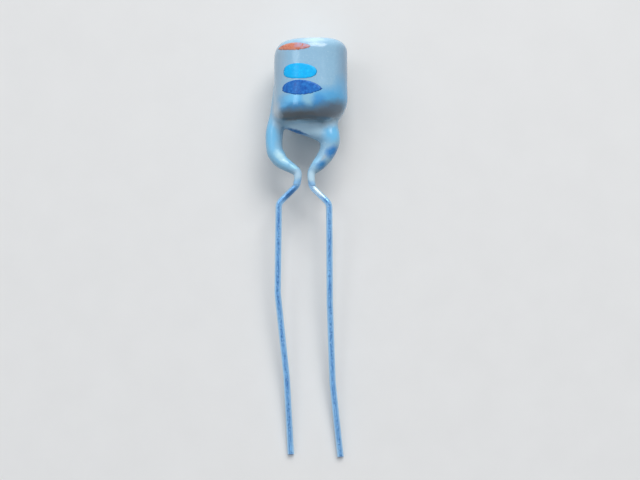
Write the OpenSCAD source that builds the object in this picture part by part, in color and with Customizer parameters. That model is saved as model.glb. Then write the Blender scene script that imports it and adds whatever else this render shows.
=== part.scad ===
// Dipped solid tantalum capacitor with two radial leads and a painted colour code.
//
// It lies on its side as it comes to rest: the barrel's axis runs along Y, the leads point
// to -Y, and +Z is up. The origin is on the table, under the middle of the whole part.
// Everything is drawn round the barrel's axis, with y = 0 at the barrel's foot, where the
// leads come out, and moved to its resting place at the end.

/* [Pellet] */
// Diameter of the sintered tantalum pellet
pellet_d = 4.8; // [4.4:0.1:5.2]
// Length of the pellet
pellet_len = 5.2; // [4.4:0.1:6.4]
// Thickness of the manganese dioxide round the pellet
dioxide_t = 0.1; // [0.06:0.01:0.15]
// Thickness of the graphite on the manganese dioxide
graphite_t = 0.05; // [0.03:0.01:0.08]
// Thickness of the silver paint on the graphite
silver_t = 0.08; // [0.05:0.01:0.12]
// How far the graphite, and then the silver, stop short of the layer below them
layer_step = 0.4; // [0.2:0.05:0.6]

/* [Riser and washer] */
// Diameter of the tantalum riser wire
riser_d = 0.5; // [0.4:0.05:0.6]
// Length of the riser wire inside the pellet
riser_in = 1.8; // [1.2:0.1:3]
// Length of the riser wire in front of the pellet
riser_out = 1.15; // [1:0.05:1.3]
// Diameter of the insulating washer on the riser wire
washer_d = 2.2; // [1.6:0.1:2.8]
// Thickness of the insulating washer
washer_t = 0.3; // [0.2:0.05:0.35]

/* [Leads] */
// Diameter of the lead wire
lead_d = 0.64; // [0.5:0.02:0.7]
// Distance between the two leads below the crimp
lead_pitch = 5.08; // [4.8:0.02:5.4]
// Middle of the two leads below the crimp, from the barrel's axis
lead_mid_x = -0.68; // [-0.8:0.02:-0.5]
// Inner radius of the sharper bends, on the centre of the wire
bend_r = 1; // [0.96:0.01:1.05]
// Radius of the anode lead's crimp, on the centre of the wire
crimp_r = 1.5; // [1.3:0.05:1.6]
// Radius of the slight kinks further down, on the centre of the wire
kink_r = 6; // [3:0.5:8]
// How far the riser wire is pressed into the anode lead by the weld
weld_sink = 0.1; // [0.05:0.01:0.15]
// Length of lead that is welded to the riser wire
weld_len = 0.65; // [0.5:0.05:0.75]
// Length of the cathode lead along the pellet's side
lap_len = 3.9; // [3:0.1:4.2]
// How far the cathode lead's inner end lies from the pellet's closed end
lap_back = 0.7; // [0.5:0.05:0.9]
// How far the cathode lead reaches past the barrel's foot, along its fall to the table
cathode_reach = 33.9; // [30:0.1:38]
// How far the anode lead reaches past the barrel's foot, along its fall to the table
anode_reach = 34.15; // [30:0.05:38]

/* [Solder joint] */
// Diameter of the solder round the cathode lead
solder_d = 1; // [0.9:0.02:1.1]
// Length of the solder
solder_len = 2.9; // [2:0.1:3]
// Solder between the lead and the silver
solder_film = 0.05; // [0.03:0.01:0.08]
// Length of bare lead past the solder
solder_back = 0.4; // [0.2:0.05:0.6]

/* [Resin coat] */
// Resin round the silver
side_wall = 1.07; // [1:0.01:1.2]
// Resin over the pellet's blind end
top_wall = 1.07; // [0.6:0.01:1.5]
// Resin in front of the pellet's riser end
foot_wall = 1.4; // [1.35:0.01:1.6]
// Rounding of the barrel's closed end
top_round = 1.3; // [0.8:0.05:1.8]
// Rounding of the barrel's foot
foot_round = 1.75; // [1.2:0.05:1.85]
// Diameter of the resin round the cathode lead
cathode_leg_d = 1.72; // [1.6:0.02:1.84]
// Diameter of the resin at the cathode leg's knee
cathode_knee_d = 1.6; // [1.4:0.02:1.8]
// Diameter of the resin round the anode lead
anode_leg_d = 1.86; // [1.7:0.02:1.88]
// Diameter of the resin where the wire leaves it
neck_d = 0.76; // [0.74:0.01:0.9]
// Diameter of the resin bar between the legs, at the cathode leg
web_small_d = 1.36; // [1.2:0.02:1.5]
// Diameter of the resin bar between the legs, at the anode leg
web_large_d = 1.7; // [1.4:0.02:1.76]
// Thickness of the shelf that joins the bar to the foot
shelf_t = 1.24; // [1:0.02:1.3]
// How much thicker the shelf grows where it runs into the foot
shelf_flare = 0.66; // [0.3:0.02:0.8]

/* [Colour code] */
// Thickness of the paint
paint_t = 0.03; // [0.02:0.01:0.05]
// Length of the light blue mark round the barrel, seen from above
light_mark_len = 3.2; // [2.4:0.1:3.6]
// Width of the light blue mark along the barrel
light_mark_w = 1.44; // [1:0.02:1.6]
// Width of the light blue mark's narrow end
light_mark_end_w = 1.2; // [0.8:0.02:1.6]
// Length of the dark blue mark round the barrel, seen from above
dark_mark_len = 3.7; // [3:0.1:4.4]
// Width of the dark blue mark along the barrel
dark_mark_w = 1.44; // [1:0.02:1.5]
// Width of the dark blue mark's blunt end
dark_mark_end_w = 0.84; // [0.5:0.02:1]
// Width of the dark blue mark's narrow end
dark_mark_tip_w = 0.56; // [0.2:0.02:0.8]
// Length of the orange mark round the barrel, seen from above
orange_mark_len = 3.3; // [2.4:0.1:3.6]
// Width of the orange mark along the barrel
orange_mark_w = 0.8; // [0.5:0.02:1]
// How far the middle of the orange mark lies from the barrel's closed end
orange_back = 1.1; // [0.8:0.05:1.4]

/* [Hidden] */
$fn = 64;

// How far a cut runs past the face that it opens
over = 1;
// A bar is this much thicker in its bends, and its straights reach this far into them
bend_swell = 0.004;
bend_seat = 0.03;

// Radii
pellet_r = pellet_d / 2;
dioxide_r = pellet_r + dioxide_t;
graphite_r = dioxide_r + graphite_t;
silver_r = graphite_r + silver_t;
barrel_r = silver_r + side_wall;
riser_r = riser_d / 2;
washer_r = washer_d / 2;
lead_r = lead_d / 2;
solder_r = solder_d / 2;

// Stations along the axis, from the foot at y = 0
dioxide_y = foot_wall;
pellet_y = dioxide_y + dioxide_t;
graphite_y = dioxide_y + layer_step;
silver_y = graphite_y + layer_step;
pellet_top = pellet_y + pellet_len;
dioxide_top = pellet_top + dioxide_t;
graphite_top = dioxide_top + graphite_t;
silver_top = graphite_top + silver_t;
barrel_len = silver_top + top_wall;
riser_y = pellet_y - riser_out;

// The cathode lead lies along the silver, the anode lead along the riser wire
lap_x = -(silver_r + solder_film + lead_r);
weld_x = riser_r + lead_r - weld_sink;
lap_top = silver_top - lap_back;
lap_foot = lap_top - lap_len;
solder_top = lap_top - solder_back;
weld_top = riser_y + weld_len;

// Where the leads lie below the crimp
cathode_x = lead_mid_x - lead_pitch / 2;
anode_x = lead_mid_x + lead_pitch / 2;

// Each lead's corners seen from above. It runs from the pellet through its root at the
// barrel's foot, its knee and its neck to the innermost point of its crimp. It bows out again
// to its place beside the other lead, and wanders from there to its tip. The bends at the
// corners are arcs.
cathode_root = [-3.65, -1];
cathode_knee = [-3.65, -3.44];
cathode_neck = [-1.29, -4.92];
cathode_crimp = [cathode_neck.x, -5.49];
cathode_bow_y = [-6.06, -7.93];
cathode_wander = [[-0.14, -17.1], [0.75, -25.7], [1.17, -cathode_reach]];
cathode_upper = [
    [lap_x, lap_top], [lap_x, lap_foot], cathode_root, cathode_knee, cathode_neck, cathode_crimp
];
cathode_lower = [
    cathode_crimp, [cathode_crimp.x, cathode_bow_y[0]], [cathode_x, cathode_bow_y[1]],
    for (p = cathode_wander) [cathode_x, 0] + p
];
anode_root = [1.95, -1.45];
anode_knee = [1.95, -2.35];
anode_neck = [0.05, -4.7];
anode_crimp = [anode_neck.x, -5.45];
anode_bow_y = [-6.21, -7.98];
anode_wander = [[0.07, -18.1], [0.36, -26.2], [1.2, -anode_reach]];
anode_weld_y = -0.1;
anode_upper = [
    [weld_x, weld_top], [weld_x, anode_weld_y], anode_root, anode_knee, anode_neck, anode_crimp
];
anode_lower = [
    anode_crimp, [anode_crimp.x, anode_bow_y[0]], [anode_x, anode_bow_y[1]],
    for (p = anode_wander) [anode_x, 0] + p
];
cathode_bends = [bend_r, bend_r, bend_r, bend_r];
anode_bends = [bend_r, bend_r, bend_r, crimp_r];
lower_bends = [bend_r, bend_r, kink_r, kink_r];

// The resin leg on each lead starts inside the barrel and stops part of the way round the
// last bend. The anode lead reaches its leg across the web, so that leg has its own start.
cathode_leg_radii = [
    cathode_leg_d / 2, cathode_leg_d / 2, cathode_leg_d / 2, cathode_knee_d / 2, neck_d / 2
];
anode_leg = [[1.6, 1.6], anode_root, anode_knee, anode_neck, anode_crimp];
anode_leg_bends = [bend_r, bend_r, crimp_r];
anode_leg_radii = [anode_leg_d / 2, anode_leg_d / 2, anode_leg_d / 2, neck_d / 2];
neck_stop = 0.45;

// The web's bar runs from leg to leg, and its shelf up into the barrel
web_route = [[-3.1, 0.45], [anode_root.x, -1.4]];
shelf_y = 0.9;
shelf_root_t = shelf_t + shelf_flare;

// Middles of the painted marks, seen from above, and their slant
light_at = [-1, 4.5];
light_turn = -4;
dark_at = [-0.86, 2.88];
dark_turn = -2;
dark_middle_x = -0.55;
orange_at = [-1.65, barrel_len - orange_back];
orange_turn = 1;

// Below the crimp each lead drops just so far that its tip touches the table
function reach(lower) = lower[0].y - lower[len(lower) - 1].y;
function drop(lower) =
    let (side = reach(lower), up = lead_r - bend_r, fall = barrel_r - bend_r)
    asin(fall / norm([side, up])) - atan2(up, side);
function tip_y(lower) =
    let (a = drop(lower))
    lower[0].y - bend_r * sin(a) - reach(lower) * cos(a) - lead_r * sin(a);

// Middle of the whole part
mid_x = (barrel_r + cathode_root.x - cathode_leg_d / 2) / 2;
mid_y = (barrel_len + min(tip_y(cathode_lower), tip_y(anode_lower))) / 2;

// Turn of a route at its corner i, positive to the left
function turn(route, i) =
    let (a = route[i] - route[i - 1], b = route[i + 1] - route[i])
    atan2(cross(a, b), a * b);
// Length that the bend at corner i takes off the straights beside it
function setback(route, i, bends) =
    i == 0 || i == len(route) - 1 ? 0 : bends[i - 1] * tan(abs(turn(route, i)) / 2);
function straight(route, i, bends) =
    norm(route[i + 1] - route[i]) - setback(route, i, bends) - setback(route, i + 1, bends);

// A bend of a round bar, from the origin and +Y towards -X
module arc(r, angle, bar_r) {
    translate([-r, 0, 0])
        rotate_extrude(angle = angle)
            translate([r, 0])
                circle(bar_r + bend_swell);
}

// A round bar along a route, drawn from the origin along +Y. Each straight tapers from one
// value of radii to the next and reaches a little way into the bends beside it. The bar
// stops inside its last bend where stop is under 1. Otherwise it ends with its last
// straight, and the children follow on there. after says that a bend comes before it.
module bar(route, bends, radii, stop = 1, after = false, i = 0) {
    length = straight(route, i, bends);
    last = i == len(route) - 2;
    y1 = after ? -bend_seat : 0;
    y2 = length + (last && $children == 0 ? 0 : bend_seat);
    translate([0, y1, 0])
        rotate([-90, 0, 0])
            cylinder(h = y2 - y1, r1 = radii[i], r2 = radii[i + 1]);
    translate([0, length, 0])
        if (last) {
            children();
        } else {
            angle = turn(route, i + 1);
            side = sign(angle) * bends[i];
            stops = i == len(route) - 3 && stop < 1;
            rotate([0, angle < 0 ? 180 : 0, 0])
                arc(bends[i], abs(angle) * (stops ? stop : 1), radii[i + 1]);
            if (!stops)
                translate([-side, 0, 0])
                    rotate([0, 0, angle])
                        translate([side, 0, 0])
                            bar(route, bends, radii, stop, true, i + 1)
                                children();
        }
}

// Puts a bar at its route's start, along its first straight
module start(route) {
    first = route[1] - route[0];
    translate([route[0].x, route[0].y, 0])
        rotate([0, 0, atan2(first.y, first.x) - 90])
            children();
}

// The bend that points a lead down to the table, and what follows it
module drop_bend(angle) {
    rotate([0, -90, 0])
        arc(bend_r, angle, lead_r);
    translate([0, 0, -bend_r])
        rotate([-angle, 0, 0])
            translate([0, 0, bend_r])
                children();
}

// One lead wire, from its inner end to its tip
module lead(upper, upper_bends, lower) {
    start(upper)
        bar(upper, upper_bends, [for (p = upper) lead_r])
            drop_bend(drop(lower))
                bar(lower, lower_bends, [for (p = lower) lead_r], after = true);
}

// A disc or rod on the barrel's axis between two stations
module axial(r, y1, y2) {
    translate([0, y1, 0])
        rotate([-90, 0, 0])
            cylinder(h = y2 - y1, r = r);
}

// The barrel, a rounded cylinder, with all its surface moved out by grow
module barrel(grow = 0) {
    r = barrel_r + grow;
    rotate([-90, 0, 0])
        rotate_extrude() {
            translate([0, -grow])
                square([barrel_r - foot_round, foot_round + grow]);
            translate([0, foot_round])
                square([r, barrel_len - foot_round - top_round]);
            translate([0, barrel_len - top_round])
                square([barrel_r - top_round, top_round + grow]);
            intersection() {
                translate([barrel_r - foot_round, foot_round])
                    circle(foot_round + grow);
                translate([0, -grow])
                    square([r, foot_round + grow]);
            }
            intersection() {
                translate([barrel_r - top_round, barrel_len - top_round])
                    circle(top_round + grow);
                translate([0, barrel_len - top_round])
                    square([r, top_round + grow]);
            }
        }
}

// One resin leg, which stops on the lead inside the bend of its neck
module leg(route, bends, radii) {
    start(route)
        bar(route, bends, radii, stop = neck_stop);
}

// The resin that hangs between the legs: a round bar from leg to leg, and a shelf above it
// that thickens into the foot
module web() {
    start(web_route)
        bar(web_route, [], [web_small_d / 2, web_large_d / 2]);
    hull() {
        linear_extrude(shelf_t, center = true)
            polygon([web_route[0], web_route[1], [web_route[1].x, shelf_y], [web_route[0].x, shelf_y]]);
        translate([web_route[0].x, shelf_y, -shelf_root_t / 2])
            cube([web_route[1].x - web_route[0].x, over, shelf_root_t]);
    }
}

// Everything that the resin flows round
module core() {
    axial(dioxide_r, dioxide_y, silver_y);
    axial(graphite_r, graphite_y, silver_y);
    axial(silver_r, silver_y, silver_top);
    axial(washer_r, pellet_y - washer_t, pellet_y);
    axial(riser_r, riser_y, pellet_y);
    solder_bead();
    cathode_lead();
    anode_lead();
}

module resin_coat() {
    color("tan")
        difference() {
            union() {
                barrel();
                leg(cathode_upper, cathode_bends, cathode_leg_radii);
                leg(anode_leg, anode_leg_bends, anode_leg_radii);
                web();
            }
            core();
        }
}

module anode_slug() {
    color("dimgray")
        difference() {
            axial(pellet_r, pellet_y, pellet_top);
            axial(riser_r, pellet_y - over, pellet_y + riser_in);
        }
}

// The weld presses the riser wire into the side of the anode lead
module riser_wire() {
    color("slategray")
        difference() {
            axial(riser_r, riser_y, pellet_y + riser_in);
            anode_lead();
        }
}

module insulating_washer() {
    color("white")
        difference() {
            axial(washer_r, pellet_y - washer_t, pellet_y);
            axial(riser_r, pellet_y - washer_t - over, pellet_y + over);
        }
}

// The dioxide covers the pellet all over, up to the washer
module manganese_dioxide_layer() {
    color("black")
        difference() {
            axial(dioxide_r, dioxide_y, dioxide_top);
            axial(pellet_r, pellet_y, pellet_top);
            axial(washer_r, dioxide_y - over, pellet_y);
        }
}

// A cup with one thickness all over, open at the riser end
module cup(r, thickness, y1, y2) {
    difference() {
        axial(r, y1, y2);
        axial(r - thickness, y1 - over, y2 - thickness);
    }
}

module graphite_layer() {
    color("darkslategray")
        cup(graphite_r, graphite_t, graphite_y, graphite_top);
}

module silver_layer() {
    color("silver")
        cup(silver_r, silver_t, silver_y, silver_top);
}

module solder_bead() {
    translate([lap_x, solder_top, 0])
        rotate([90, 0, 0])
            cylinder(h = solder_len, d = solder_d);
}

// The solder fills the corner between the cathode lead and the silver
module solder_joint() {
    color("gainsboro")
        difference() {
            solder_bead();
            axial(silver_r, silver_y, silver_top);
            cathode_lead();
        }
}

module cathode_lead() {
    color("lightsteelblue")
        lead(cathode_upper, cathode_bends, cathode_lower);
}

module anode_lead() {
    color("lightsteelblue")
        lead(anode_upper, anode_bends, anode_lower);
}

// A dab of paint on the barrel's upper side, with its outline given from above
module mark() {
    intersection() {
        difference() {
            barrel(paint_t);
            barrel();
        }
        linear_extrude(barrel_r + over)
            children();
    }
}

// A rounded outline round discs along X, each given by where its middle is and by its width
module dab(discs) {
    hull()
        for (d = discs)
            translate([d[0], 0])
                circle(d = d[1]);
}

// A lens-shaped outline between two arcs
module lens(length, width) {
    r = (length * length + width * width) / (4 * width);
    intersection() {
        translate([0, r - width / 2])
            circle(r);
        translate([0, width / 2 - r])
            circle(r);
    }
}

module orange_mark() {
    color("orangered")
        mark()
            translate(orange_at)
                rotate(orange_turn)
                    lens(orange_mark_len, orange_mark_w);
}

module light_blue_mark() {
    color("deepskyblue")
        mark()
            translate(light_at)
                rotate(light_turn)
                    dab([
                        [(light_mark_w - light_mark_len) / 2, light_mark_w],
                        [(light_mark_len - light_mark_end_w) / 2, light_mark_end_w]
                    ]);
}

module dark_blue_mark() {
    color("royalblue")
        mark()
            translate(dark_at)
                rotate(dark_turn)
                    dab([
                        [(dark_mark_end_w - dark_mark_len) / 2, dark_mark_end_w],
                        [dark_middle_x, dark_mark_w],
                        [(dark_mark_len - dark_mark_tip_w) / 2, dark_mark_tip_w]
                    ]);
}

// Moves the part to its resting place on the table
module resting() {
    translate([-mid_x, -mid_y, barrel_r])
        children();
}

resting() resin_coat();
resting() anode_slug();
resting() riser_wire();
resting() insulating_washer();
resting() manganese_dioxide_layer();
resting() graphite_layer();
resting() silver_layer();
resting() solder_joint();
resting() cathode_lead();
resting() anode_lead();
resting() orange_mark();
resting() light_blue_mark();
resting() dark_blue_mark();
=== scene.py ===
"""A dipped tantalum capacitor, lying on a pale table.

It is put together in the order of manufacture: pellet and riser wire, washer, the three
layers, the solder and the leads, the resin coat, and last the painted colour code.
Sizes are in metres, and mm turns millimetres into them. The row frame's +Y runs along the
barrel to its closed end. Places along the leads and in the resin are listed in millimetres
from the middle of the barrel's foot, which is at the height of its axis.
"""

import math

import bpy
import numpy as np
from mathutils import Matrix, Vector


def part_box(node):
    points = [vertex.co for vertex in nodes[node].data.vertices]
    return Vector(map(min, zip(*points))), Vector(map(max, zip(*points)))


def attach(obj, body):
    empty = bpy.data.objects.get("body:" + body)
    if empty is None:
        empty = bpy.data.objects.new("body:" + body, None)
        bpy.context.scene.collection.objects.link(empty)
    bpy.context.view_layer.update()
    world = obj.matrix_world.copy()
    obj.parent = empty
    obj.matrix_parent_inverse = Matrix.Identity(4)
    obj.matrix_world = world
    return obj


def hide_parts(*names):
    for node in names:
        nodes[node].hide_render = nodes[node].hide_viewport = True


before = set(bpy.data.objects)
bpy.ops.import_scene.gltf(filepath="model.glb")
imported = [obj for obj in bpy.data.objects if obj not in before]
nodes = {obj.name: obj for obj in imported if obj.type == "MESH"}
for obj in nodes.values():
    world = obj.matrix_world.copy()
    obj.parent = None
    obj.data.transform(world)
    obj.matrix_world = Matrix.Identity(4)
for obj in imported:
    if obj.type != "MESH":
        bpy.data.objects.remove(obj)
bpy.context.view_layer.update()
mm = 0.001


# ---- Table, light and camera ----
# The part lies on a plain pale table top. A wide window beyond the closed end gives the main
# light, a small one stands to the left, and the room fills the shade.


def node(tree, kind, *values, out=0, **settings):
    """Adds a node. Its inputs follow in order: a value, the output of another node or None."""
    made = tree.nodes.new(kind)
    for name, value in settings.items():
        setattr(made, name, value)
    for socket, value in zip([s for s in made.inputs if s.enabled], values):
        if isinstance(value, bpy.types.NodeSocket):
            tree.links.new(value, socket)
        elif value is not None:
            socket.default_value = value
    return [s for s in made.outputs if s.enabled][out]


def colour(code):
    """The linear colour of a code such as "99C2DC"."""
    shares = [int(code[i : i + 2], 16) / 255 for i in (0, 2, 4)]
    return (*[s / 12.92 if s <= 0.04045 else ((s + 0.055) / 1.055) ** 2.4 for s in shares], 1)


def finish(name, base, roughness, bump=None, **fixed):
    """A material. base, roughness and bump are functions of its tree and its coordinates."""
    material = bpy.data.materials.new(name)
    material.use_nodes = True
    tree = material.node_tree
    shader = tree.nodes["Principled BSDF"]
    for socket, value in fixed.items():
        shader.inputs[socket.replace("_", " ")].default_value = value
    spot = tree.nodes.new("ShaderNodeTexCoord").outputs["Object"]
    for socket, rule in (("Base Color", base), ("Roughness", roughness), ("Normal", bump)):
        if rule:
            tree.links.new(rule(tree, spot), shader.inputs[socket])
    return material


def noise(tree, spot, grain, detail=3.0, out=0):
    """Noise whose lumps are about as large as grain."""
    return node(tree, "ShaderNodeTexNoise", spot, 1 / grain, detail, 0.55, out=out)


def spread(tree, value, low, high, start=0.0, end=1.0):
    """Spreads a value that runs from low to high over start to end."""
    return node(tree, "ShaderNodeMapRange", value, low, high, start, end)


def blend(tree, share, first, second):
    """Mixes two colours."""
    return node(tree, "ShaderNodeMix", share, first, second, data_type="RGBA")


def vector_math(tree, operation, *values):
    """One step of reckoning with places or directions."""
    return node(tree, "ShaderNodeVectorMath", *values, operation=operation)


def sums(tree, operation, *values):
    """One step of reckoning with numbers."""
    return node(tree, "ShaderNodeMath", *values, operation=operation)


table_size = 1.2
table_mesh = bpy.data.meshes.new("table_top")
half = table_size / 2
table_mesh.from_pydata(
    [(-half, -half, 0), (half, -half, 0), (half, half, 0), (-half, half, 0)], [], [(0, 1, 2, 3)]
)
table = bpy.data.objects.new("table_top", table_mesh)
bpy.context.collection.objects.link(table)
table_mesh.materials.append(
    finish(
        "pale_table",
        lambda t, p: blend(t, noise(t, p, 4 * mm), colour("E3E0DC"), colour("E9E6E2")),
        lambda t, p: spread(t, noise(t, p, 2 * mm), 0, 1, 0.55, 0.7),
    )
)


def window(name, azimuth, elevation, distance, width, height, power, tint):
    """A soft light that faces the part. Azimuth 0 is beyond the closed end, 90 to the right."""
    lamp = bpy.data.lights.new(name, "AREA")
    lamp.shape, lamp.size, lamp.size_y = "RECTANGLE", width, height
    lamp.energy, lamp.color = power, tint
    holder = bpy.data.objects.new(name, lamp)
    a, e = math.radians(azimuth), math.radians(elevation)
    away = Vector((math.sin(a) * math.cos(e), math.cos(a) * math.cos(e), math.sin(e)))
    holder.location = away * distance
    holder.rotation_euler = away.to_track_quat("Z", "Y").to_euler()
    bpy.context.collection.objects.link(holder)


window(
    "main_window", azimuth=17, elevation=46, distance=1.2, width=0.88, height=0.66, power=10.6,
    tint=(1.0, 1.0, 1.0),
)
window(
    "side_window", azimuth=-64, elevation=52, distance=1.2, width=0.34, height=0.34, power=0.9,
    tint=(0.8, 0.93, 1.0),
)

# The room is lit from beyond the closed end and the left, so its light falls off towards the
# viewer. What sees the room itself sees a pale backdrop.
room = bpy.data.worlds.new("room")
bpy.context.scene.world = room
room.use_nodes = True
sky = room.node_tree
direction = node(sky, "ShaderNodeTexCoord")
towards = vector_math(sky, "DOT_PRODUCT", direction, (-0.3, 0.35, 0.89))
glow = node(sky, "ShaderNodeBackground", colour("EAF3FF"), spread(sky, towards, 0, 1, 0.02, 0.8))
backdrop = node(
    sky, "ShaderNodeBackground", colour("F4F5F6"), spread(sky, towards, -1, 0.6, 0.64, 0.95)
)
rays = sky.nodes.new("ShaderNodeLightPath").outputs
seen = sums(sky, "MAXIMUM", rays["Is Camera Ray"], rays["Is Glossy Ray"])
seen = sums(sky, "MAXIMUM", seen, rays["Is Transmission Ray"])
shown = node(sky, "ShaderNodeMixShader", seen, glow, backdrop)
sky.links.new(shown, sky.nodes["World Output"].inputs["Surface"])

bpy.context.scene.view_settings.view_transform = "Standard"

camera_distance = 83.77 * mm
camera_elevation = math.radians(87)
looks_at = Vector((1.34, 1.48, 0)) * mm
camera = bpy.data.objects.new("camera", bpy.data.cameras.new("camera"))
camera.data.lens, camera.data.sensor_width = 45, 36
camera.data.clip_start = 5 * mm
camera.location = looks_at + camera_distance * Vector(
    (0, -math.cos(camera_elevation), math.sin(camera_elevation))
)
camera.rotation_euler = (math.pi / 2 - camera_elevation, 0, 0)
bpy.context.collection.objects.link(camera)
bpy.context.scene.camera = camera


# ---- Pellet and riser wire ----
# Tantalum powder is pressed round the end of a tantalum wire and sintered into one porous
# slug, dull grey and finely pitted. The wire stays smooth and brighter.


def relief(tree, height, depth):
    """Bump of a given depth."""
    return node(tree, "ShaderNodeBump", 1.0, depth, 1.0, height)


def grained(name, dark, light, grain, depth, rough, metallic=0.0):
    """A dull finish with one fine grain in its colour, its gloss and its surface."""
    return finish(
        name,
        lambda t, p: blend(t, noise(t, p, grain), colour(dark), colour(light)),
        lambda t, p: spread(t, noise(t, p, 3 * grain), 0, 1, rough - 0.1, rough + 0.1),
        lambda t, p: relief(t, noise(t, p, grain, 6), depth),
        Metallic=metallic,
    )


def coat_node(name, material):
    """Gives a CAD node its finish."""
    nodes[name].data.materials.clear()
    nodes[name].data.materials.append(material)


coat_node(
    "anode_slug", grained("sintered_tantalum", "3C3C40", "6A6A70", 0.06 * mm, 0.02 * mm, 0.7, 0.6)
)
coat_node(
    "riser_wire", grained("tantalum_wire", "74787F", "8C9098", 0.05 * mm, 0.002 * mm, 0.35, 1.0)
)

# ---- Washer ----
# A small disc, punched from PTFE sheet and pushed over the riser wire up to the slug. It keeps
# the electrolyte off the weld.
coat_node(
    "insulating_washer", grained("ptfe", "E4E4E0", "F2F2EE", 0.2 * mm, 0.002 * mm, 0.5)
)

# ---- Electrolyte, graphite and silver ----
# Three dips cover the slug: black manganese dioxide, grey graphite, and silver paint that
# the solder can wet.
coat_node(
    "manganese_dioxide_layer",
    grained("manganese_dioxide", "141212", "2C2828", 0.05 * mm, 0.01 * mm, 0.8),
)
coat_node("graphite_layer", grained("graphite", "2C2C30", "44444A", 0.08 * mm, 0.004 * mm, 0.5))
coat_node(
    "silver_layer", grained("silver_paint", "B0B0AC", "D0D0CC", 0.04 * mm, 0.004 * mm, 0.45, 0.8)
)

# ---- Solder ----
# Soft solder, melted on when the cathode lead is laid against the silver. It fills the corner
# between them and holds the lead.
coat_node("solder_joint", grained("solder", "9A9CA0", "BFC1C5", 0.3 * mm, 0.006 * mm, 0.3, 1.0))

# ---- Leads ----
# Two tinned wires, 0.64 mm thick. Each is bent out of the barrel through its leg, pinched
# towards the other at the crimp, and drops from there to the table. Cutters left the tips
# with a slanted face.
coat_low, coat_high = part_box("resin_coat")
silver_low, silver_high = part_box("silver_layer")
barrel_len = 8 * mm
foot = Vector(
    (
        (silver_low.x + silver_high.x) / 2,
        coat_high.y - barrel_len,
        (silver_low.z + silver_high.z) / 2,
    )
)
lead_r = 0.32 * mm
bend_r = 1 * mm
kink_r = 6 * mm
cathode_crimp_r, anode_crimp_r = 1.4 * mm, 1.5 * mm
wire_sides, bend_steps = 32, 24

# Corners of the leads: to the right of the foot's middle, and from it to the closed end
lap_x, lap_top, lap_foot = -2.98, 6.23, 2.33
cathode_x, anode_x = -3.22, 1.86
cathode_upper = [
    (lap_x, lap_top), (lap_x, lap_foot), (-3.65, -1), (-3.65, -3.44),
    (-1.29, -4.92), (-1.29, -5.49),
]
cathode_lower = [
    (-1.29, -5.49), (-1.29, -6.06), (cathode_x, -7.93),
    (cathode_x - 0.14, -17.1), (cathode_x + 0.75, -25.7), (cathode_x + 1.17, -33.9),
]
anode_upper = [
    (0.47, 1.0), (0.47, -0.1), (1.95, -1.45), (1.95, -2.35), (0.05, -4.7), (0.05, -5.45),
]
anode_lower = [
    (0.05, -5.45), (0.05, -6.21), (anode_x, -7.98),
    (anode_x + 0.07, -18.1), (anode_x + 0.36, -26.2), (anode_x + 1.2, -34.15),
]


def lead_line(upper, lower):
    """A lead's corners in the row frame. Below the crimp they slope down to the table."""
    reach = (lower[0][1] - lower[-1][1]) * mm
    side, up, fall = reach, lead_r - bend_r, foot.z - bend_r
    slope = math.asin(fall / math.hypot(side, up)) - math.atan2(up, side)
    setback = bend_r * math.tan(slope / 2)
    high = [foot + Vector((x, y, 0)) * mm for x, y in upper]
    corner = high.pop() + Vector((0, -setback, 0))
    along = Vector((0, -math.cos(slope), -math.sin(slope)))
    low = [
        corner + Vector(((x - lower[0][0]) * mm, 0, 0)) + along * ((lower[0][1] - y) * mm + setback)
        for x, y in lower[1:]
    ]
    return high + [corner] + low


def line_object(name, points, **attributes):
    """An open line of edges, with an attribute for each point."""
    mesh = bpy.data.meshes.new(name)
    mesh.from_pydata(points, [(i, i + 1) for i in range(len(points) - 1)], [])
    for key, values in attributes.items():
        mesh.attributes.new(key, "FLOAT", "POINT").data.foreach_set("value", values)
    made = bpy.data.objects.new(name, mesh)
    bpy.context.collection.objects.link(made)
    return made


def geometry_tree(name, **inputs):
    """A Geometry Nodes tree with a geometry input and named inputs, and its input node."""
    tree = bpy.data.node_groups.new(name, "GeometryNodeTree")
    tree.interface.new_socket("Geometry", in_out="INPUT", socket_type="NodeSocketGeometry")
    for key, kind in inputs.items():
        tree.interface.new_socket(key, in_out="INPUT", socket_type="NodeSocket" + kind)
    tree.interface.new_socket("Geometry", in_out="OUTPUT", socket_type="NodeSocketGeometry")
    return tree, tree.nodes.new("NodeGroupInput").outputs


def end_tree(tree, geometry, material):
    """Ends a tree with Realize Instances and Set Material."""
    whole = node(tree, "GeometryNodeRealizeInstances", geometry)
    done = node(tree, "GeometryNodeSetMaterial", whole, None, material)
    tree.links.new(done, tree.nodes.new("NodeGroupOutput").inputs[0])


def grow(source, tree, **values):
    """Runs a tree on an object with the given inputs and keeps the result as its mesh."""
    modifier = source.modifiers.new(tree.name, "NODES")
    modifier.node_group = tree
    for item in tree.interface.items_tree:
        if item.in_out == "INPUT" and item.name in values:
            modifier[item.identifier] = values[item.name]
    done = source.evaluated_get(bpy.context.evaluated_depsgraph_get())
    mesh = bpy.data.meshes.new_from_object(done)
    source.modifiers.remove(modifier)
    source.data = mesh
    mesh.name = source.name


def capture(tree, geometry, kind, value):
    """Keeps a value of a curve's points for the mesh that is made from it."""
    held = tree.nodes.new("GeometryNodeCaptureAttribute")
    held.capture_items.new(kind, "Value")
    tree.links.new(geometry, held.inputs[0])
    tree.links.new(value, held.inputs[1])
    return held.outputs[0], held.outputs[1]


def named(tree, name):
    """A number that the geometry carries under a name."""
    return node(tree, "GeometryNodeInputNamedAttribute", name, data_type="FLOAT")


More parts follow.
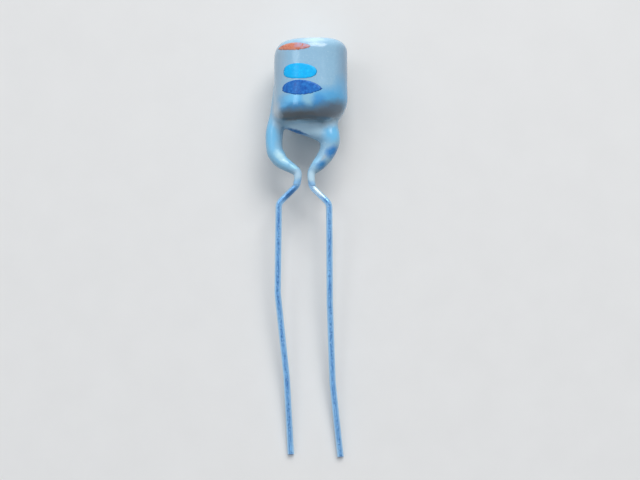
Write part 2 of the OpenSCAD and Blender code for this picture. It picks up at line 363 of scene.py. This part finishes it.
wire, given = geometry_tree(
    "drawn_wire", Radius="Float", Step="Float", Cut_Length="Float", Cut_Slant="Float",
    Material="Material",
)
line = node(wire, "GeometryNodeMeshToCurve", given["Geometry"])
line = node(
    wire, "GeometryNodeFilletCurve", line, bend_steps, named(wire, "bend"), False, mode="POLY"
)
line = node(wire, "GeometryNodeResampleCurve", line, None, given["Step"], mode="LENGTH")
spline = node(wire, "GeometryNodeSplineParameter", out=1)
total = node(wire, "GeometryNodeSplineLength")
line, to_tip = capture(wire, line, "FLOAT", sums(wire, "SUBTRACT", total, spline))
line, centre = capture(wire, line, "VECTOR", node(wire, "GeometryNodeInputPosition"))
ring = node(wire, "GeometryNodeCurvePrimitiveCircle", wire_sides, given["Radius"])
ring, rim = capture(wire, ring, "VECTOR", node(wire, "GeometryNodeInputPosition"))
tube = node(wire, "GeometryNodeCurveToMesh", line, ring, 1.0, True)
straightened = vector_math(wire, "ADD", rim, node(wire, "ShaderNodeCombineXYZ", 0.0, 0.0, to_tip))
tube = node(
    wire, "GeometryNodeStoreNamedAttribute", tube, None, "straightened", straightened,
    data_type="FLOAT_VECTOR",
)
from_centre = vector_math(wire, "SUBTRACT", node(wire, "GeometryNodeInputPosition"), centre)
height = node(wire, "ShaderNodeSeparateXYZ", from_centre, out=2)
tube = node(
    wire, "GeometryNodeStoreNamedAttribute", tube, None, "height",
    sums(wire, "DIVIDE", height, given["Radius"]), data_type="FLOAT",
)
nearness = spread(wire, to_tip, given["Cut_Length"], 0.0, 0.0, given["Cut_Slant"])
back = sums(wire, "MULTIPLY", sums(wire, "ADD", height, given["Radius"]), nearness)
tube = node(
    wire, "GeometryNodeSetPosition", tube, None, None, node(wire, "ShaderNodeCombineXYZ", 0.0, back)
)
sharp = sums(wire, "GREATER_THAN", node(wire, "GeometryNodeInputMeshEdgeAngle"), math.radians(40))
tube = node(wire, "GeometryNodeSetShadeSmooth", tube, sharp, False, domain="EDGE")
end_tree(wire, tube, given["Material"])


def patch(tree, spot, centre, size, turn):
    """A soft blob, 1 in its middle and 0 outside. centre and size are in millimetres from the
    middle of the barrel's foot, and turn is in degrees seen from above."""
    place = node(
        tree, "ShaderNodeMapping", spot, foot + Vector(centre) * mm,
        (0, 0, math.radians(turn)), Vector(size) * mm, vector_type="TEXTURE",
    )
    ball = node(tree, "ShaderNodeTexGradient", place, out=1, gradient_type="SPHERICAL")
    return spread(tree, ball, 0, 0.6)


def on_wire(tree, name, out):
    """A value that the wire's mesh carries."""
    return node(tree, "ShaderNodeAttribute", attribute_name=name, out=out)


def tin_colour(tree, spot):
    """Tin with drawing lines, flecks and pits kept to its top, its sides painted lighter as a sheen
    so that its middle looks darker, a highlight painted below one crimp and shade painted below the
    other. The cut face at the tip is plain."""
    lines = vector_math(tree, "MULTIPLY", on_wire(tree, "straightened", 1), (1, 1, 0.06))
    streaks = spread(tree, noise(tree, lines, 0.1 * mm, 4), 0.35, 0.65)
    tin = blend(tree, streaks, colour("4682C8"), colour("8AC4F4"))
    # Painted sheen: the wire's sides and underside are lighter than its top
    side = spread(tree, on_wire(tree, "height", 2), 0.97, 0.65, 0, 0.8)
    tin = blend(tree, side, tin, colour("B4E0FF"))
    flecks = spread(tree, noise(tree, spot, 0.11 * mm, 2), 0.56, 0.7, 0, 0.75)
    tin = blend(tree, flecks, tin, colour("C8E4FA"))
    # The pits are kept to the wire's top so that its middle looks darker: real pitting, spread as
    # painted shade
    pits = spread(tree, noise(tree, spot, 0.14 * mm, 2, out=1), 0.5, 0.38, 0, 0.85)
    on_top = spread(tree, on_wire(tree, "height", 2), 0.8, 0.95)
    tin = blend(tree, sums(tree, "MULTIPLY", pits, on_top), tin, colour("2A5E9E"))
    # A painted highlight on the anode lead below its crimp
    painted_highlight = patch(tree, spot, (0.75, -6.8, 0.2), (1.2, 0.45, 1), -45)
    tin = blend(tree, painted_highlight, tin, colour("C8E2F4"))
    # Painted shade on the cathode lead below its crimp
    painted_shade = patch(tree, spot, (-2.0, -7.1, 0.1), (1.4, 0.3, 1), 44)
    tin = blend(tree, sums(tree, "MULTIPLY", painted_shade, 0.8), tin, colour("2A5C94"))
    to_tip = node(tree, "ShaderNodeSeparateXYZ", on_wire(tree, "straightened", 1), out=2)
    return blend(tree, spread(tree, to_tip, 0.02 * mm, 0.005 * mm), tin, colour("6C92BC"))


def tin_gloss(tree, spot):
    """The wire's roughness, uneven at a fine grain."""
    return spread(tree, noise(tree, spot, 0.08 * mm, 5), 0.35, 0.65, 0.22, 0.42)


def tin_surface(tree, spot):
    """The wire's drawing lines and grain as relief."""
    lines = vector_math(tree, "MULTIPLY", on_wire(tree, "straightened", 1), (1, 1, 0.04))
    grain = noise(tree, spot, 0.06 * mm, 5)
    height = sums(tree, "MULTIPLY_ADD", grain, 1.4, noise(tree, lines, 0.08 * mm, 4))
    return relief(tree, height, 0.016 * mm)


tinned_wire = finish("tinned_wire", tin_colour, tin_gloss, tin_surface, Metallic=1.0)

for name, upper, lower, crimp in (
    ("cathode_lead", cathode_upper, cathode_lower, cathode_crimp_r),
    ("anode_lead", anode_upper, anode_lower, anode_crimp_r),
):
    corners = lead_line(upper, lower)
    bends = [0, bend_r, bend_r, bend_r, crimp, bend_r, bend_r, bend_r, kink_r, kink_r, 0]
    lead = line_object(name + "_wire", corners, bend=bends)
    grow(
        lead, wire, Radius=lead_r, Step=0.12 * mm, Cut_Length=0.6 * mm, Cut_Slant=0.45,
        Material=tinned_wire,
    )
    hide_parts(name)
    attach(lead, "root")


# ---- Resin coat ----
# The finished inside is dipped in liquid epoxy, leads up, and hung to cure. The resin gathers
# round the slug as a barrel, runs on along each lead as a leg that ends in a thin film over
# the crimp, and spans the legs as a web with a shelf. Where they meet it draws fillets.

# Each point of these guide lines has its place, as for the leads, and the resin's radius there
cathode_leg = [
    (-2.92, 3.2, 0.85), (-3.28, 0.8, 0.86), (-3.65, -1, 0.87), (-3.65, -2.6, 0.83),
    (-3.3, -3.4, 0.8), (-2.84, -3.95, 0.68), (-1.8, -4.6, 0.52), (-1.36, -4.95, 0.43),
    (-1.29, -5.4, 0.385), (-1.33, -5.8, 0.36), (-1.44, -6.1, 0.33),
]
anode_leg = [
    (1.75, 0.3, 0.85), (1.93, -1.35, 1.0), (1.9, -2.1, 0.96), (1.6, -3.0, 0.82),
    (1.05, -3.8, 0.72), (0.58, -4.35, 0.62), (0.25, -4.7, 0.5), (0.09, -5.0, 0.42),
    (0.05, -5.4, 0.385), (0.08, -5.85, 0.36), (0.18, -6.17, 0.33),
]
web = [(-2.8, 0.15, 0.55), (-1.2, -0.42, 0.62), (0.6, -0.8, 0.85), (1.7, -1.25, 0.95)]
shelf = [(-2.6, 0.75, 0.7), (-0.6, 0.45, 0.85), (1.6, 0.1, 1.05)]

guides = bpy.data.meshes.new("resin_coat_skin")
guide_points, guide_edges, thickness, branch = [], [], [], []
for number, chain in enumerate((cathode_leg, anode_leg, web, shelf)):
    for i, (x, y, r) in enumerate(chain):
        if i:
            guide_edges.append((len(guide_points) - 1, len(guide_points)))
        guide_points.append(foot + Vector((x, y, 0)) * mm)
        thickness.append(r * mm)
        branch.append(number)
guides.from_pydata(guide_points, guide_edges, [])
guides.attributes.new("thickness", "FLOAT", "POINT").data.foreach_set("value", thickness)
guides.attributes.new("branch", "FLOAT", "POINT").data.foreach_set("value", branch)
coat = bpy.data.objects.new("resin_coat_skin", guides)
bpy.context.collection.objects.link(coat)

# The barrel's edges aren't evenly round. A lean is what the rounding gains for each unit of
# length to the right: at the foot from foot_lean_from on, at the closed end up to the middle.
foot_lean, foot_lean_from = 0.36, -1.0 * mm
top_lean = -0.15
leg_fillet, web_fillet, barrel_fillet = 0.4 * mm, 0.5 * mm, 0.6 * mm
lump_size = 3 * mm
beads_along_leg = 160

dip, given = geometry_tree(
    "dipped_resin", Foot="Vector", Length="Float", Radius="Float", Squareness="Float",
    Hollow="Float", Foot_Round="Float", Top_Round="Float", Unevenness="Float", Low="Vector",
    High="Vector", Cells_X="Int", Cells_Y="Int", Cells_Z="Int", Material="Material",
)
place = node(dip, "GeometryNodeInputPosition")
local = vector_math(dip, "SUBTRACT", place, given["Foot"])
apart = dip.nodes.new("ShaderNodeSeparateXYZ")
dip.links.new(local, apart.inputs[0])
x, y, z = apart.outputs
half_length = sums(dip, "MULTIPLY", given["Length"], 0.5)
past_middle = sums(dip, "GREATER_THAN", y, half_length)
right_of = sums(dip, "MAXIMUM", x, foot_lean_from)
foot_round = sums(dip, "MULTIPLY_ADD", right_of, foot_lean, given["Foot_Round"])
left_of = sums(dip, "MINIMUM", x, 0.0)
top_round = sums(dip, "MULTIPLY_ADD", left_of, top_lean, given["Top_Round"])
rounding = node(dip, "ShaderNodeMix", past_middle, foot_round, top_round, data_type="FLOAT")
squared = given["Squareness"]
from_axis = sums(
    dip, "POWER",
    sums(
        dip, "ADD", sums(dip, "POWER", sums(dip, "ABSOLUTE", x), squared),
        sums(dip, "POWER", sums(dip, "ABSOLUTE", z), squared),
    ),
    sums(dip, "DIVIDE", 1.0, squared),
)
past_side = sums(dip, "ADD", sums(dip, "SUBTRACT", from_axis, given["Radius"]), rounding)
from_middle = sums(dip, "ABSOLUTE", sums(dip, "SUBTRACT", y, half_length))
hollow = sums(dip, "MULTIPLY", sums(dip, "MULTIPLY", x, x), given["Hollow"])
past_end = sums(dip, "SUBTRACT", sums(dip, "SUBTRACT", from_middle, half_length), hollow)
past_end = sums(dip, "ADD", past_end, rounding)
outside = vector_math(
    dip, "LENGTH",
    node(dip, "ShaderNodeCombineXYZ", sums(dip, "MAXIMUM", past_side, 0.0),
         sums(dip, "MAXIMUM", past_end, 0.0)),
)
inside = sums(dip, "MINIMUM", sums(dip, "MAXIMUM", past_side, past_end), 0.0)
barrel = sums(dip, "SUBTRACT", sums(dip, "ADD", outside, inside), rounding)


def leg_distance(number):
    """How far a spot lies outside the resin round one guide line."""
    chosen = sums(dip, "COMPARE", named(dip, "branch"), number, 0.1)
    kept = node(dip, "GeometryNodeSeparateGeometry", given["Geometry"], chosen)
    curve = node(dip, "GeometryNodeMeshToCurve", kept)
    curve = node(dip, "GeometryNodeCurveSplineType", curve, spline_type="CATMULL_ROM")
    beads = node(dip, "GeometryNodeCurveToPoints", curve, beads_along_leg)
    nearest = node(dip, "GeometryNodeSampleNearest", beads, place)
    spot = node(dip, "GeometryNodeSampleIndex", beads, node(dip, "GeometryNodeInputPosition"),
                nearest, data_type="FLOAT_VECTOR")
    thick = node(dip, "GeometryNodeSampleIndex", beads, named(dip, "thickness"), nearest)
    return sums(dip, "SUBTRACT", vector_math(dip, "DISTANCE", place, spot), thick)


# The two legs, then the web and its shelf, and the barrel last
legs = sums(dip, "SMOOTH_MIN", leg_distance(0), leg_distance(1), leg_fillet)
for number in (2, 3):
    legs = sums(dip, "SMOOTH_MIN", legs, leg_distance(number), web_fillet)
surface = sums(dip, "SMOOTH_MIN", legs, barrel, barrel_fillet)
lumps = sums(dip, "SUBTRACT", node(dip, "ShaderNodeTexNoise", place, 1 / lump_size, 1.0), 0.5)
surface = sums(dip, "MULTIPLY_ADD", lumps, given["Unevenness"], surface)
depth = sums(dip, "MULTIPLY", surface, -1.0)
resin = node(
    dip, "GeometryNodeVolumeCube", depth, -1.0 * mm, given["Low"], given["High"],
    given["Cells_X"], given["Cells_Y"], given["Cells_Z"],
)
resin = node(dip, "GeometryNodeVolumeToMesh", resin, 0.0, 0.0)
resin = node(dip, "GeometryNodeSetShadeSmooth", resin)
end_tree(dip, resin, given["Material"])


# Where the resin is tinted, and where highlights and shade are painted on it: colour, strength, and
# the centre, size and turn of the patch
tints_and_painted_light = [
    # Painted light on the barrel's sides: the left side lighter and greyer, partly the resin's grey
    # and partly painted light from the left; the right side darker, painted shade
    ("A6BCCC", 0.6, (-3.3, 5.2, 1.6), (1.5, 4.5, 3), 0),
    ("7698B6", 0.7, (3.7, 5.0, 1.2), (1.8, 4.8, 3.4), 0),
    # A painted sheen along the closed end's rounding, and a painted highlight of the main window on
    # it
    ("B0DAF0", 0.6, (0.2, 8.0, 2.4), (4.6, 1.0, 3), 0),
    ("D6F2FC", 0.7, (0.3, 7.5, 3.0), (1.5, 0.55, 1.4), 4),
    ("48A8DE", 0.9, (0.6, 1.6, 2.8), (7, 1.5, 8), 7),
    ("3086BC", 0.9, (-1.0, 1.05, 3.2), (3.8, 0.5, 1.6), 5),
    ("5AB0E2", 0.6, (3.1, 2.8, 1.6), (1.4, 2.0, 3), 0),
    ("92C4D8", 0.8, (-0.2, 1.9, 3.7), (0.8, 1.2, 1.5), 0),
    ("2E8CD0", 0.6, (0.75, 1.66, 3.6), (0.9, 0.6, 1.5), 0),
    ("78CCF6", 0.7, (-1.7, 1.85, 3.3), (1.1, 0.6, 1.5), 0),
    # Painted shade on the barrel's foot, darker where it turns away from the light
    ("4A5054", 0.94, (-0.9, 0.25, 2.5), (4.2, 1.0, 2.3), 0),
    ("606C78", 0.85, (2.3, 0.8, 2.5), (3.4, 1.2, 2.6), 14),
    ("B4C4CE", 0.9, (-3.5, 0.6, 1.4), (0.9, 1.9, 2.6), 0),
    ("74C4EE", 0.9, (-3.95, -1.4, 0.6), (1, 2.6, 1.8), 0),
    ("84CCF0", 0.8, (-2.9, -3.7, 0.6), (1.6, 1.1, 1.5), -40),
    # A painted highlight on the cathode leg's bend
    ("C8F0FA", 0.9, (-2.95, -3.5, 0.7), (1.1, 0.5, 0.9), -42),
    # Painted light on the web, which lies in the barrel's shade, and a painted highlight at the
    # anode leg's root
    ("C2E6F8", 1.0, (-0.5, -0.55, 0.8), (3.4, 1.0, 1.6), -10),
    ("D0EAF6", 0.9, (1.95, -0.35, 1.2), (1.0, 0.6, 1.4), 10),
    ("6AC2F0", 0.9, (2.15, -1.15, 0.9), (1.3, 1.2, 1.6), 0),
    ("A8BECC", 0.8, (1.35, -3.45, 0.6), (0.25, 0.7, 1.2), -45),
    # A painted highlight on the inner side of the anode leg's bend
    ("9CD8F8", 0.7, (0.5, -3.9, 0.5), (0.8, 0.4, 0.8), 50),
    ("2A86CE", 1.0, (2.1, -2.9, 0.4), (0.95, 0.7, 1.4), 30),
    ("2A8ACA", 0.95, (0.98, -4.3, 0.2), (0.8, 0.5, 1.2), 30),
    # Painted shade along the web's lower edge, where it turns under
    ("1C70B0", 1.0, (-1.5, -0.92, 0.4), (1.7, 0.26, 0.8), -18),
    # Painted glints on the cathode leg near its crimp
    ("A6ECFC", 0.6, (-1.75, -4.45, 0.4), (0.5, 0.25, 0.6), -30),
    ("C4E2F2", 0.7, (-1.3, -5.3, 0.2), (0.7, 0.7, 0.8), 0),
    ("C8E6F4", 0.8, (0.1, -5.4, 0.2), (0.6, 0.8, 0.8), 0),
    ("88BEEA", 0.8, (-1.4, -6.15, 0), (1.0, 0.5, 1), 30),
    ("88BEEA", 0.8, (0.1, -6.25, 0), (1.0, 0.5, 1), -30),
]


def resin_colour(tree, spot):
    """The resin's pale blue with fine flecks, and over it the tinted patches, painted highlights
    and painted shade, all with swaying edges.
    """
    shade = blend(tree, noise(tree, spot, 0.3 * mm, 5), colour("8CB8D4"), colour("9AC4DC"))
    flecks = spread(tree, noise(tree, spot, 0.16 * mm, 2), 0.6, 0.75, 0, 0.4)
    shade = blend(tree, flecks, shade, colour("C0DCEA"))
    drift, widest = noise(tree, spot, 0.9 * mm, 5, out=1), 0.7 * mm
    sway = vector_math(tree, "MULTIPLY_ADD", drift, (widest,) * 3, (-widest / 2,) * 3)
    swayed = vector_math(tree, "ADD", spot, sway)
    for code, strength, centre, size, turn in tints_and_painted_light:
        share = sums(tree, "MULTIPLY", patch(tree, swayed, centre, size, turn), strength)
        shade = blend(tree, share, shade, colour(code))
    return shade


def resin_gloss(tree, spot):
    """The coat's roughness, a little uneven."""
    return spread(tree, noise(tree, spot, 0.5 * mm), 0.3, 0.7, 0.13, 0.22)


def resin_surface(tree, spot):
    """Soft waves with a fine grain on them."""
    waves, grain = noise(tree, spot, 0.7 * mm, 2), noise(tree, spot, 0.12 * mm, 3)
    height = sums(tree, "MULTIPLY_ADD", grain, 0.15, waves)
    return relief(tree, height, 0.02 * mm)


dipped_resin = finish("dipped_resin", resin_colour, resin_gloss, resin_surface, IOR=1.6)
cell = 0.09 * mm
dip_low = coat_low - Vector((0.3, 1.2, 0.3)) * mm
dip_high = coat_high + Vector((0.3, 0.3, 0.3)) * mm
cells = [math.ceil(length / cell) for length in dip_high - dip_low]
grow(
    coat, dip, Foot=foot, Length=barrel_len, Radius=foot.z, Squareness=2.3, Hollow=30.0,
    Foot_Round=1.6 * mm, Top_Round=1.3 * mm, Unevenness=0.1 * mm, Low=dip_low, High=dip_high,
    Cells_X=cells[0], Cells_Y=cells[1], Cells_Z=cells[2], Material=dipped_resin,
)
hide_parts("resin_coat")
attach(coat, "root")


# ---- Colour code ----
# Three dabs of glossy paint on the barrel's upper side, put on with a fine brush: orange by
# the closed end, light blue in the middle, dark blue by the foot. Each is thickest in its
# middle and thins out to a slightly ragged edge.
dab_rings, dab_steps = 16, 240

# A dab is laid out this many millimetres over the barrel's axis and dropped onto the coat
over_coat = 9


def dab_outline(length, width, peak, left, right, ragged, seed):
    """Points round a dab, seen from above. It is widest at peak, a share of its length, and
    its ends are squarer the larger left and right are; 2 is an ellipse. ragged is how far the
    edge ripples, less so on the side of the closed end, and seed fixes the ripples."""
    ripple = np.random.default_rng(seed)
    waves = [
        (k, ripple.uniform(0, 2 * math.pi), ripple.uniform(0, 1) ** 2) for k in range(5, 45, 2)
    ]
    points = []
    for i in range(dab_steps):
        turn = 2 * math.pi * i / dab_steps
        across, up = math.cos(turn), math.sin(turn)
        square = right if across > 0 else left
        reach = length * (1 - peak if across > 0 else peak)
        rough = sum(a * math.sin(k * turn + at) for k, at, a in waves)
        rough = 1 + rough * ragged * (0.3 if up > 0 else 1)
        points.append(
            (
                math.copysign(abs(across) ** (2 / square), across) * reach * rough,
                math.copysign(abs(up) ** (2 / square), up) * width / 2 * rough,
            )
        )
    return points


def flat_dab(name, outline, centre, slant, thickness, sunk):
    """The dab as a flat closed cushion over the coat, with the height that each point gets
    above the resin."""
    cos, sin = math.cos(slant), math.sin(slant)
    points, heights, faces = [], [], []
    for side, most in ((1, thickness), (-1, sunk)):
        for ring in range(dab_rings + 1 if side > 0 else dab_rings):
            share = ring / dab_rings
            for x, y in outline:
                x, y = x * share, y * share
                turned = Vector((x * cos - y * sin, x * sin + y * cos, 0))
                points.append(foot + (Vector((*centre, over_coat)) + turned) * mm)
                heights.append(side * most * math.sqrt(max(0, 1 - share**6)))
    rim, lower = dab_rings * dab_steps, (dab_rings + 1) * dab_steps
    for i in range(dab_steps):
        j = (i + 1) % dab_steps
        for ring in range(dab_rings):
            a, b = ring * dab_steps, (ring + 1) * dab_steps
            faces.append((a + i, b + i, b + j, a + j))
            a, b = a + lower, b + lower
            if ring == dab_rings - 1:
                b = rim
            faces.append((a + j, b + j, b + i, a + i))
    mesh = bpy.data.meshes.new(name)
    mesh.from_pydata(points, [], faces)
    mesh.attributes.new("height", "FLOAT", "POINT").data.foreach_set("value", heights)
    made = bpy.data.objects.new(name, mesh)
    bpy.context.collection.objects.link(made)
    return made


brush, given = geometry_tree("brushed_dab", Coat="Object", Material="Material")
skin = node(brush, "GeometryNodeObjectInfo", given["Coat"], out=4)
hit = brush.nodes.new("GeometryNodeRaycast")
brush.links.new(skin, hit.inputs["Target Geometry"])
hit.inputs["Ray Direction"].default_value = (0, 0, -1)
hit.inputs["Ray Length"].default_value = (over_coat + 3) * mm
lift = vector_math(brush, "SCALE", hit.outputs["Hit Normal"], named(brush, "height"))
wet = vector_math(brush, "ADD", hit.outputs["Hit Position"], lift)
dab = node(brush, "GeometryNodeSetPosition", given["Geometry"], None, wet)
dab = node(brush, "GeometryNodeMergeByDistance", dab, None, 0.004 * mm)
dab = node(brush, "GeometryNodeSetShadeSmooth", dab)
end_tree(brush, dab, given["Material"])


def paint(name, deep, clear, worn=None):
    """A glossy brushed paint, a little uneven in its colour and worn thin at the spot worn."""

    def coat_of_paint(tree, spot):
        strokes = spread(tree, noise(tree, spot, 0.3 * mm, 5), 0.3, 0.7)
        shade = blend(tree, strokes, colour(deep), colour(clear))
        if worn:
            thin = sums(tree, "MULTIPLY", patch(tree, spot, *worn), 1.3)
            bare = spread(tree, noise(tree, spot, 0.25 * mm, 4), 0.35, 0.6)
            thin = sums(tree, "MULTIPLY", thin, bare)
            shade = blend(tree, thin, shade, colour("C0A2B8"))
        return shade

    return finish(
        name,
        coat_of_paint,
        lambda t, p: spread(t, noise(t, p, 0.3 * mm), 0.3, 0.7, 0.18, 0.3),
        lambda t, p: relief(t, noise(t, p, 0.2 * mm, 4), 0.006 * mm),
        IOR=1.35,
    )


for name, outline, centre, slant, material in (
    ("orange_mark", dab_outline(3.2, 0.8, 0.5, 1.8, 1.7, 0.024, 3), (-1.6, 6.91), -4,
     paint("orange_paint", "C46448", "E0967C", ((-0.75, 7.05, 3.2), (1.1, 0.6, 1.5), -4))),
    ("light_blue_mark", dab_outline(3.27, 1.5, 0.48, 2.7, 2.15, 0.003, 5), (-1.06, 4.42), -4,
     paint("light_blue_paint", "00B0F4", "02C4FF")),
    ("dark_blue_mark", dab_outline(3.85, 1.46, 0.42, 1.9, 1.75, 0.024, 8), (-1.16, 2.83), -3,
     paint("dark_blue_paint", "0C50A8", "2680D2")),
):
    dab = flat_dab(
        name + "_dab", outline, centre, math.radians(slant), thickness=0.032 * mm, sunk=0.03 * mm
    )
    grow(dab, brush, Coat=coat, Material=material)
    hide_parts(name)
    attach(dab, "root")
